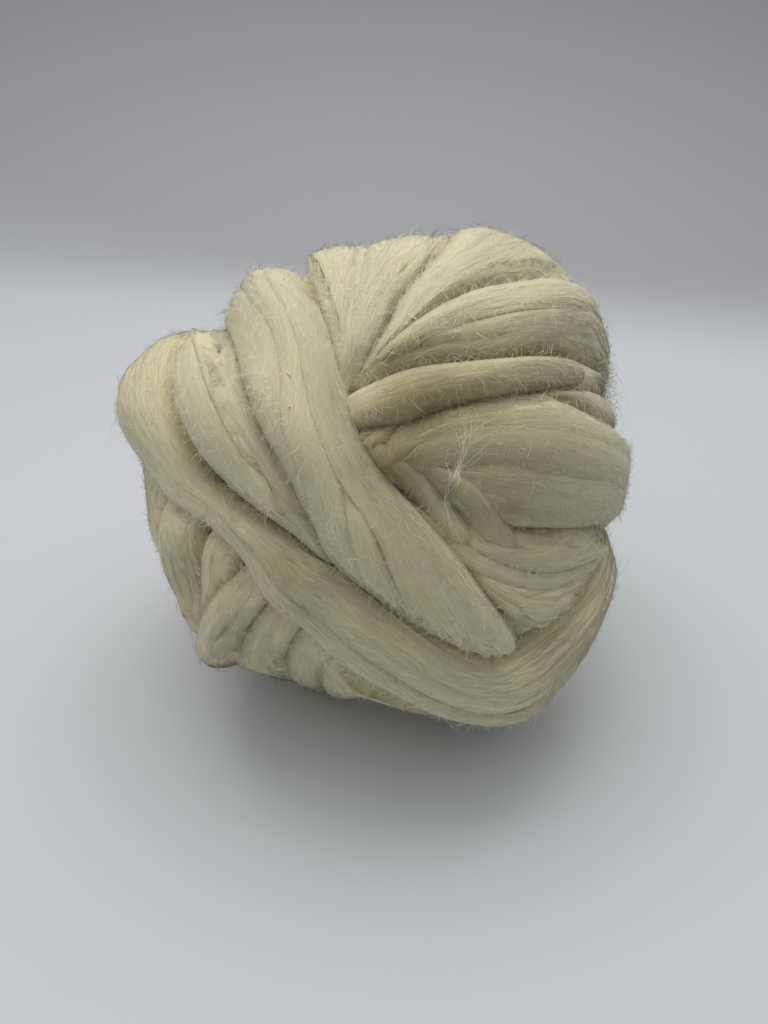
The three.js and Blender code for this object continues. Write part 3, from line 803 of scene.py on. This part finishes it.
# The turns that cross the face, wound last. They come over the left shoulder and the top, press
# each other narrow where they meet, and go under the ball at the lower right.
CROSSING = [
    ("lowest", 6, "in", [
        (-20, -48, 10), (-8, -55, 16), (6, -62, 18), (22, -66, 18), (38, -64, 18), (54, -56, 18),
        (70, -46, 18), (88, -38, 17),
    ]),
    ("shoulder", 8, "over", [
        (-88, 76, 18), (-78, 65, 19), (-68, 54, 21), (-58.5, 43, 23), (-48.5, 31, 26), (-42, 20.5, 26),
        (-35.5, 9.5, 24), (-29, 0, 20), (-24, -6, 15), (-20, -10.5, 9), (-15, -15, 6), (-9, -20, 4),
    ]),
    ("shoulder_strand_1", 2.4, "on", [
        (-80, 70, 12), (-70, 59, 13), (-61, 48, 14), (-52.5, 35.5, 15), (-46, 23.5, 15),
        (-40, 12.5, 14), (-34.5, 4, 14), (-28.5, -3, 12), (-23, -8, 9), (-18, -12.5, 6), (-12, -18, 4),
    ]),
    ("shoulder_strand_2", 2.4, "on", [
        (-66, 58, 9), (-57, 49, 9), (-48, 38.5, 9), (-40.5, 29, 9), (-35.8, 21, 8.5), (-31.8, 15, 8.5),
        (-28, 9, 8.5), (-24.5, 3.5, 8), (-21, -2, 6), (-18, -7.5, 4),
    ]),
    ("crossing", 9, "over", [
        (-66, 86, 28), (-54, 72, 30), (-44, 60, 31), (-36.5, 50, 30), (-30.5, 40, 28), (-25.5, 30, 26),
        (-21.3, 19.5, 24.5), (-17.3, 10, 22.5), (-12.3, 0, 22), (-6.5, -8.5, 25), (-1, -16, 28),
        (5, -23.5, 29), (10.5, -31, 28), (15.5, -38, 28), (20, -45, 28), (24, -52, 26), (27, -58, 20),
    ]),
    ("crossing_strand_1", 2.4, "on", [
        (-72, 82, 13), (-61, 69, 14), (-50.5, 57, 15), (-42, 46.5, 15), (-34.5, 36, 15), (-29, 26, 14),
        (-25.4, 17, 11), (-23.3, 10.5, 8), (-19.5, 2, 6), (-17.6, -5, 5), (-15.5, -11, 4),
    ]),
    ("crossing_strand_2", 2.4, "on", [
        (-57, 80, 12), (-47, 68, 13), (-38, 57, 13), (-30, 46, 13), (-23.5, 36, 12), (-20, 27, 11),
        (-18, 18, 10), (-16.5, 9, 11), (-13.5, 0, 11), (-12, -8, 11), (-10, -15, 10), (-6.5, -21, 8),
        (-3.5, -26.5, 6), (-0.5, -31, 4),
    ]),
    ("crossing_strand_3", 2.4, "on", [
        (-8.5, 1, 4), (-6.5, -5, 7), (-5, -12, 8), (-3.5, -18, 9), (0, -25, 10), (5, -32, 12),
        (9.5, -39, 12), (14, -46, 12), (18, -53, 11),
    ]),
    ("crossing_strand_4", 2.4, "on", [
        (-37, 63, 9), (-29, 52, 9), (-21.5, 41, 9), (-17, 31, 9), (-14.2, 22, 9), (-11.5, 12, 9),
        (-7.5, 3, 9), (-2.5, -4, 10), (2, -10, 12), (6, -17, 15), (11, -25, 17), (16, -33, 18),
        (20.5, -40, 18), (25, -47, 17), (29, -54, 15),
    ]),
    ("outermost", 9, "over", [
        (-104, 74, 24), (-92, 61, 28), (-82, 48, 31), (-74.5, 35, 33), (-68.5, 23.5, 33),
        (-61.5, 12, 30), (-53.5, 3.5, 23), (-45.5, -3.5, 15), (-38, -8, 12), (-31, -13.2, 14),
        (-24, -19.8, 18), (-15, -28.8, 22), (-5, -37.5, 27), (7, -45, 30), (20, -49.5, 32),
        (34, -49, 32), (48, -45, 30), (62, -38.5, 28), (76, -33, 26), (92, -29, 24),
    ]),
    ("outer_strand_1", 3.2, "on", [
        (-40, -5.5, 5), (-34, -9, 6), (-28, -12.8, 7), (-22, -17.5, 9), (-15, -23, 11), (-7, -29.5, 12),
        (2, -36, 13.5), (11, -41, 14), (20, -43.2, 14), (30, -43.5, 14), (42, -42, 14), (54, -38, 14),
        (68, -33, 13), (84, -29, 13),
    ]),
    ("outer_strand_2", 3.2, "on", [
        (-46, -5.5, 6), (-39, -9.5, 7), (-33, -14.5, 7), (-27.5, -20, 8), (-21.5, -27, 9),
        (-15, -34, 11), (-6, -43, 13), (4, -50, 14), (16, -55, 15), (30, -56, 15), (44, -53, 15),
        (58, -46, 14), (72, -40, 13),
    ]),
]
crossing_turns = list(face_turns(CROSSING))

# Every turn is pressed by the ones wound after it, so the pieces are made when all are wound.
face_groups = {
    "low_left": low_left_turns, "right": right_turns, "top": top_turns, "crossing": crossing_turns,
}
for name, turns in {**back_turns, **face_groups}.items():
    wool_turns("turns_" + name, turns)

# The fibres that lie on the turns. Combing leaves them side by side along the strand, each a
# little off its neighbours, so the surface is a layer of fine fibres and not a skin.
FIBRE_SEED = 8
FIBRE_COUNT = 36000
FIBRE_POINTS = 5
FIBRE_LENGTH = (8, 24)
FIBRE_WIDTH = (0.06, 0.16)
FIBRE_DRIFT = 1.0
FIBRE_WAVE = 0.2
FIBRE_ROLL = 0.25
FIBRE_PIECES = 2
FIBRE_TONE = 0.76
FIBRE_TRIES = 2.6
FIBRE_EDGE = 0.95
FIBRE_LIMIT = 0.97
FIBRE_BENDS = 9
FIBRE_BOW = 0.2
FIBRE_OVER = 0.03
CLEAR_BY = 0.2
ASIDE_STEP = 0.02
TONE_CHANCE = 0.3
LOCK_TONE = 0.4
LOCK_SIZE = (30, 2.2)
LOCK_SHIFT = 5
LOCK_SEED = 31


def is_open(directions, height, above):
    """Whether points at a height over the core stand clear of the turns wound later."""
    clear = np.ones(len(height), bool)
    for turn in above:
        station, across, meets = turn.locate(directions)
        clear[meets] &= height[meets] > turn.top(station[meets], across[meets]) - CLEAR_BY
    return clear


def loose_wool(name, pale, dark):
    """Single wool fibres, each with its own tone between the dark and the pale colour, lit like the wool
    that they lie on; for the laid fibres and the fuzz the tone also carries painted shade.
    """
    material, tree, shader = new_material(name)
    nodes, links = tree.nodes, tree.links
    tone = nodes.new("ShaderNodeAttribute")
    tone.attribute_name = "tone"
    mix = nodes.new("ShaderNodeMix")
    mix.data_type = "RGBA"
    mix.inputs[6].default_value = (*dark, 1)
    mix.inputs[7].default_value = (*pale, 1)
    links.new(tone.outputs["Fac"], mix.inputs[0])
    links.new(mix.outputs[2], shader.inputs["Base Color"])
    ground = nodes.new("ShaderNodeAttribute")
    ground.attribute_name = "ground"
    links.new(ground.outputs["Vector"], shader.inputs["Normal"])
    shader.inputs["Roughness"].default_value = 0.92
    shader.inputs["Specular IOR Level"].default_value = 0.1
    shader.inputs["Sheen Weight"].default_value = 0.2
    shader.inputs["Sheen Roughness"].default_value = 0.6
    return material


LAID_FIBRES = loose_wool("laid_fibres", (0.88, 0.825, 0.565), CREASE_SHADE_AND_GRAIN)


def fibre_paths(turn, count, chance):
    """Paths along the top of one turn, where no later turn covers it, with the normals of the wool under
    them and their tones, which carry the painted shade of creases and the hollow."""
    length = chance.uniform(*FIBRE_LENGTH, count)
    start = chance.uniform(0, 1, count) * np.maximum(turn.length - length, 1)
    step = np.linspace(0, 1, FIBRE_POINTS)
    station = (start[:, None] + length[:, None] * step) / turn.step
    middle = chance.uniform(-FIBRE_EDGE, FIBRE_EDGE, count)
    drift = chance.normal(0, FIBRE_DRIFT, count)[:, None] * (step - 0.5) * 2
    phase = chance.uniform(0, 2 * np.pi, count)[:, None]
    wave = FIBRE_WAVE * chance.uniform(0, 1, count)[:, None] * np.sin(step * FIBRE_BENDS + phase)
    aside = (drift + wave) / (turn.between(turn.width, station) / 2)
    across = np.clip(middle[:, None] + aside, -FIBRE_LIMIT, FIBRE_LIMIT)
    lift = np.sin(step * np.pi) * FIBRE_BOW * chance.uniform(0, 1, count)[:, None] ** 3 + FIBRE_OVER
    directions, level = pressed_top(turn, station, across)
    height = level + turn.pleats(station, across) + lift
    beside = middle * turn.width.mean() / 2
    lock = noise(start / LOCK_SIZE[0] + LOCK_SHIFT * turn.number, beside / LOCK_SIZE[1], LOCK_SEED)
    # Painted shade: each fibre's random tone is darkened where it lies in a crease or the hollow.
    shade = np.maximum(crease_painted_shade(turn, station, across), hollow_painted_shade(directions))
    tone = np.clip(0.5 + LOCK_TONE * lock + chance.uniform(-TONE_CHANCE, TONE_CHANCE, count), 0, 1)
    tone = (FIBRE_TONE + (1 - FIBRE_TONE) * tone)[:, None] * (1 - shade)
    later = wound[turn.number + 1:]
    looked_at = (0, FIBRE_POINTS // 2, FIBRE_POINTS - 1)
    clear = np.all([is_open(directions[:, k], height[:, k], later) for k in looked_at], axis=0)
    paths = place_on_ball(directions[clear], height[clear])
    under = place_on_ball(directions[clear], level[clear])
    beside = place_on_ball(*pressed_top(turn, station[clear], across[clear] + ASIDE_STEP))
    ground = unit(np.cross(np.gradient(under, axis=1), beside - under))
    ground *= np.sign((ground * directions[clear]).sum(-1, keepdims=True))
    return paths, ground, tone[clear]


def fibre_bands(paths, widths, roll):
    """Flat fibres along many paths, each rolled a little about its own line."""
    count, steps = paths.shape[:2]
    along = unit(np.gradient(paths, axis=1))
    out = unit(paths - CORE_MIDDLE)
    side = unit(np.cross(along, out))
    lift = np.cross(side, along)
    aside = side * np.cos(roll)[:, None, None] + lift * np.sin(roll)[:, None, None]
    taper = np.sin(np.linspace(0.03, 0.97, steps) * np.pi) ** 0.7
    half = aside * (widths[:, None] / 2 * taper)[..., None]
    points = np.stack([paths - half, paths + half], 2).reshape(count, -1, 3)
    near = 2 * np.arange(steps - 1)
    strip = np.stack([near, near + 1, near + 3, near + 2], -1)
    faces = strip[None] + (np.arange(count) * 2 * steps)[:, None, None]
    return points.reshape(-1, 3), faces.reshape(-1, 4)


chance = np.random.default_rng(FIBRE_SEED)
areas = np.array([(turn.width * turn.step).sum() for turn in wound])
tries = np.round(FIBRE_COUNT * FIBRE_TRIES * areas / areas.sum()).astype(int)
laid = [fibre_paths(turn, tries[turn.number], chance) for turn in wound]
paths, grounds, tones = (np.concatenate(parts) for parts in zip(*laid))
chosen = chance.permutation(len(paths))[:FIBRE_COUNT]
for part, some in enumerate(np.array_split(chosen, FIBRE_PIECES)):
    widths = chance.uniform(*FIBRE_WIDTH, len(some))
    roll = chance.uniform(-FIBRE_ROLL, FIBRE_ROLL, len(some))
    points, faces = fibre_bands(paths[some], widths, roll)
    tone, ground = (np.repeat(values[some], 2, axis=1) for values in (tones, grounds))
    values = {"tone": tone.ravel(), "ground": ground.reshape(-1, 3)}
    wool_piece(f"laid_fibres_{part + 1}", points, [faces], LAID_FIBRES, values=values)

# The fuzz. Fibre ends stand out of the wool all over the ball, most of them by a millimetre or
# less, and it is the fuzz that makes its outline soft.
FUZZ_SEED = 21
FUZZ_COUNT = 64000
FUZZ_PIECES = 2
FUZZ_POINTS = 4
FUZZ_LENGTH = (1.5, 5)
FUZZ_RISE = 0.5
MOST_RISE = 1.8
LEAST_RISE = 0.35
ROOT_DEPTH = 0.3
FUZZ_BEND = 0.8
FUZZ_WIDTH = (0.06, 0.13)
FUZZ_ROLL = 0.45
FUZZ_LIT = np.array([0.0, 0.0, 0.15])
LONG_SHARE = 0.02
LONG_TIMES = 2.0


def standing_fibres(roots, length, rise, bend, chance):
    """Paths that leave the wool at the roots, lean over and curve off to one side."""
    count = len(roots)
    sides = unit(np.cross(roots, chance.normal(0, 1, (count, 3))))
    step = np.linspace(0, 1, FUZZ_POINTS)
    offset = (step * length[:, None] / BALL_RADIUS)[..., None]
    bends = chance.uniform(-bend, bend, count)[:, None]
    turned = (bends * step**2 * length[:, None] / BALL_RADIUS)[..., None]
    directions = unit(roots[:, None] + sides[:, None] * offset + np.cross(sides, roots)[:, None] * turned)
    height = surface_height(directions[:, 0])[:, None] - ROOT_DEPTH
    return place_on_ball(directions, height + rise[:, None] * (1 - (1 - step) ** 2))


def fuzz_piece(name, paths, chance, tone):
    """A piece of fuzz from the paths of its fibres."""
    count = len(paths)
    width, roll = chance.uniform(*FUZZ_WIDTH, count), chance.uniform(-FUZZ_ROLL, FUZZ_ROLL, count)
    points, faces = fibre_bands(paths, width, roll)
    ground = unit(surface_normal(unit(paths[:, 0] - CORE_MIDDLE)) + FUZZ_LIT)
    size = len(points) // count
    values = {"tone": np.repeat(tone, size), "ground": np.repeat(ground, size, axis=0)}
    piece = wool_piece(name, points, [faces], FUZZ_WOOL, values=values)
    piece.visible_shadow = False


FUZZ_WOOL = loose_wool("fuzz_wool", (0.9, 0.855, 0.63), CREASE_SHADE_AND_GRAIN)

chance = np.random.default_rng(FUZZ_SEED)
for part in range(FUZZ_PIECES):
    count = FUZZ_COUNT // FUZZ_PIECES
    roots = unit(chance.normal(0, 1, (count, 3)))
    times = np.where(chance.uniform(0, 1, count) < LONG_SHARE, LONG_TIMES, 1)
    length = chance.uniform(*FUZZ_LENGTH, count) * times
    rise = (np.minimum(chance.exponential(FUZZ_RISE, count), MOST_RISE) + LEAST_RISE) * times
    paths = standing_fibres(roots, length, rise, FUZZ_BEND, chance)
    # Painted shade: the fuzz is darkened in the hollow and the recesses beside it.
    tone = chance.uniform(FIBRE_TONE, 1, count) * (1 - hollow_painted_shade(roots))
    fuzz_piece(f"fuzz_{part + 1}", paths, chance, tone)

# Stray locks. A thin wisp of pale fibres has come loose and lies across the short twisted lengths
# by the hollow, and a curl of fibre ends stands off the ball at the upper right.
WISP_SEED = 5
WISP_COUNT = 26
WISP_STEPS = 3
WISP_SCATTER = 0.5
WISP_LIFTED = (0.4, 1.4)
WISP_LINE = [(16.5, 11), (13.8, 4.6), (12.4, -0.5), (11.8, -5), (12.8, -12)]
WISP_SPREAD = [6.0, 3.0, 1.2, 1.2, 3.0]
WISP_LIFT = [0.3, 0.9, 1.5, 1.1, 0.2]
CURL_COUNT = 260
CURL_MIDDLES = [(65, 31), (67, 26)]
CURL_SPREAD = 2.0
CURL_LENGTH = (4, 9)
CURL_RISE = (1.5, 6)
CURL_BEND = 2.2

chance = np.random.default_rng(WISP_SEED)
scatter = chance.normal(0, WISP_SCATTER, (WISP_COUNT, len(WISP_LINE), 2)) * np.array(WISP_SPREAD)[:, None]
marks = np.array(WISP_LINE)[None] + scatter
curves = np.stack([spline(line, WISP_STEPS) for line in marks])
lift = spline(np.array(WISP_LIFT)[:, None], WISP_STEPS)[:, 0]
lift = lift * chance.uniform(*WISP_LIFTED, WISP_COUNT)[:, None]
directions = toward(FACE, curves[..., 0], curves[..., 1])
height = surface_height(directions.reshape(-1, 3)).reshape(lift.shape) + lift
wisp = place_on_ball(directions, height)
fuzz_piece("wisp", wisp, chance, np.ones(WISP_COUNT))

middles = np.array(CURL_MIDDLES)[chance.integers(0, len(CURL_MIDDLES), CURL_COUNT)]
marks = middles + chance.normal(0, CURL_SPREAD, (CURL_COUNT, 2))
roots = toward(FACE, marks[:, 0], marks[:, 1])
length, rise = chance.uniform(*CURL_LENGTH, CURL_COUNT), chance.uniform(*CURL_RISE, CURL_COUNT)
curl = standing_fibres(roots, length, rise, CURL_BEND, chance)
fuzz_piece("curl", curl, chance, np.ones(CURL_COUNT))

# Flecks. Combing leaves a few specks of dry plant stem in the wool, and one dark hair hangs at the
# right. They are brown and lie on the turns.
FLECKS = [
    # degrees right and up of both ends, width mm
    (-20.5, 20.2, -19.6, 19.6, 0.28),
    (-19.6, 19.6, -19.5, 19.0, 0.22),
    (-18.9, 13.0, -18.6, 12.6, 0.4),
    (-27.0, 50.0, -26.7, 49.4, 0.32),
    (-26.4, 46.2, -26.2, 45.8, 0.3),
    (-42.6, 42.0, -42.3, 41.6, 0.35),
    (60.5, -21.5, 62.5, -26.0, 0.1),
    (62.5, -26.0, 61.0, -31.5, 0.1),
]
FLECK_LIFT = 0.3
flecks = np.array(FLECKS)
step = np.linspace(0, 1, FUZZ_POINTS)
marks = flecks[:, None, :2] * (1 - step[:, None]) + flecks[:, None, 2:4] * step[:, None]
directions = toward(FACE, marks[..., 0], marks[..., 1]).reshape(-1, 3)
lying = place_on_ball(directions, surface_height(directions) + FLECK_LIFT).reshape(len(FLECKS), -1, 3)
points, faces = fibre_bands(lying, flecks[:, 4], np.zeros(len(FLECKS)))
FLECK_BROWN = loose_wool("fleck_brown", (0.16, 0.09, 0.04), (0.1, 0.06, 0.03))
ground = np.repeat(directions.reshape(len(FLECKS), -1, 3), 2, axis=1).reshape(-1, 3)
values = {"tone": np.zeros(len(points)), "ground": ground}
wool_piece("flecks", points, [faces], FLECK_BROWN, values=values)

# The pale surface that the ball rests on. It is one smooth matt board, which curves up behind the ball
# into its own backdrop, with painted shade that darkens it far off.
FLOOR_HALF = 1.6
SWEEP_FROM = 0.55
SWEEP_RADIUS = 0.25
SWEEP_TOP = 1.2
PAINTED_SHADE_FROM = 0.47
PAINTED_SHADE_FADE = 0.12
PAINTED_SHADE_SLANT = 0.33

profile = [(-FLOOR_HALF, 0.0), (SWEEP_FROM, 0.0)]
for turned in np.linspace(0, math.pi / 2, 17)[1:]:
    profile.append((SWEEP_FROM + SWEEP_RADIUS * math.sin(turned), SWEEP_RADIUS * (1 - math.cos(turned))))
profile.append((SWEEP_FROM + SWEEP_RADIUS, SWEEP_TOP))
floor_mesh = bpy.data.meshes.new("pale_surface")
floor_mesh.from_pydata(
    [(x, y, z) for y, z in profile for x in (-FLOOR_HALF, FLOOR_HALF)], [],
    [(2 * k, 2 * k + 1, 2 * k + 3, 2 * k + 2) for k in range(len(profile) - 1)],
)
floor_mesh.polygons.foreach_set("use_smooth", [True] * len(floor_mesh.polygons))
floor = bpy.data.objects.new("pale_surface", floor_mesh)
bpy.context.scene.collection.objects.link(floor)
material, tree, shader = new_material("pale_board")
nodes, links = tree.nodes, tree.links
place, parts = nodes.new("ShaderNodeTexCoord"), nodes.new("ShaderNodeSeparateXYZ")
links.new(place.outputs["Object"], parts.inputs[0])
slant = nodes.new("ShaderNodeMath")
slant.operation = "MULTIPLY_ADD"
slant.inputs[1].default_value = PAINTED_SHADE_SLANT
links.new(parts.outputs["X"], slant.inputs[0])
links.new(parts.outputs["Y"], slant.inputs[2])
# Painted shade: the board's colour darkens from the near grey to a darker grey beyond a slanted line,
# standing in for the light falling off far from the lamp.
far = nodes.new("ShaderNodeMapRange")
far.interpolation_type = "SMOOTHSTEP"
far.inputs["From Min"].default_value = PAINTED_SHADE_FROM - PAINTED_SHADE_FADE
far.inputs["From Max"].default_value = PAINTED_SHADE_FROM + PAINTED_SHADE_FADE
links.new(slant.outputs[0], far.inputs["Value"])
blend = nodes.new("ShaderNodeMix")
blend.data_type = "RGBA"
blend.inputs[6].default_value = (0.6, 0.62, 0.64, 1)
blend.inputs[7].default_value = (0.42, 0.425, 0.44, 1)
links.new(far.outputs[0], blend.inputs[0])
links.new(blend.outputs[2], shader.inputs["Base Color"])
shader.inputs["Roughness"].default_value = 0.6
shader.inputs["Specular IOR Level"].default_value = 0.3
floor_mesh.materials.append(material)
floor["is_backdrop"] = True

# The light. A large soft lamp hangs over the ball, a little behind it, and the room adds a pale
# light that is strongest from above.
light = bpy.data.lights.new("overhead", "AREA")
light.shape = "RECTANGLE"
light.size, light.size_y = 0.9, 0.7
light.energy = 4.5
light.color = (1.0, 0.985, 0.96)
overhead = bpy.data.objects.new("overhead", light)
overhead.location = (-0.04, 0.25, 0.88)
overhead.rotation_euler = (Vector((0, 0, 0.05)) - overhead.location).to_track_quat("-Z", "Y").to_euler()
bpy.context.scene.collection.objects.link(overhead)
room = bpy.data.worlds.new("room")
room.use_nodes = True
nodes, links = room.node_tree.nodes, room.node_tree.links
way, facing = nodes.new("ShaderNodeTexCoord"), nodes.new("ShaderNodeVectorMath")
facing.operation = "DOT_PRODUCT"
facing.inputs[1].default_value = Vector((-0.15, 0.33, 0.93)).normalized()
links.new(way.outputs["Generated"], facing.inputs[0])
side = nodes.new("ShaderNodeMapRange")
side.interpolation_type = "SMOOTHSTEP"
side.inputs["From Min"].default_value = -0.3
side.inputs["To Min"].default_value = 0.2
side.inputs["To Max"].default_value = 1.02
links.new(facing.outputs["Value"], side.inputs["Value"])
links.new(side.outputs[0], nodes["Background"].inputs["Strength"])
nodes["Background"].inputs["Color"].default_value = (0.83, 0.85, 0.87, 1)
bpy.context.scene.world = room
bpy.context.scene.view_settings.view_transform = "Standard"

# The camera. It stands close in front of the ball and above it, and looks down at the face where
# the turns cross, so that the ball lies a little above the middle of the picture.
LENS = 29.0
DISTANCE = 0.273
BALL_RIGHT_PIXELS = 7.0
BALL_ABOVE_PIXELS = 35.0
FOCAL_PIXELS = LENS / 36 * 1024
sight = Vector((0, math.cos(math.radians(FACE_TILT)), -math.sin(math.radians(FACE_TILT))))
right = Vector((1, 0, 0))
up = right.cross(sight)
pitch = math.atan(BALL_ABOVE_PIXELS / FOCAL_PIXELS)
yaw = math.atan(BALL_RIGHT_PIXELS / FOCAL_PIXELS)
ahead = sight * math.cos(pitch) - up * math.sin(pitch)
up = right.cross(ahead)
turned = ahead * math.cos(yaw) - right * math.sin(yaw)
right = turned.cross(up)
lens = bpy.data.cameras.new("photo_view")
lens.lens = LENS
lens.clip_start = 0.01
camera = bpy.data.objects.new("photo_view", lens)
position = Vector(CORE_MIDDLE * MM) - sight * DISTANCE
camera.matrix_world = Matrix((
    (right.x, up.x, -turned.x, position.x),
    (right.y, up.y, -turned.y, position.y),
    (right.z, up.z, -turned.z, position.z),
    (0, 0, 0, 1),
))
bpy.context.scene.collection.objects.link(camera)
bpy.context.scene.camera = camera

boxes = {"cad": cad_box, "visual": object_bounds()}
{name: [list(corner) for corner in box] for name, box in boxes.items()}
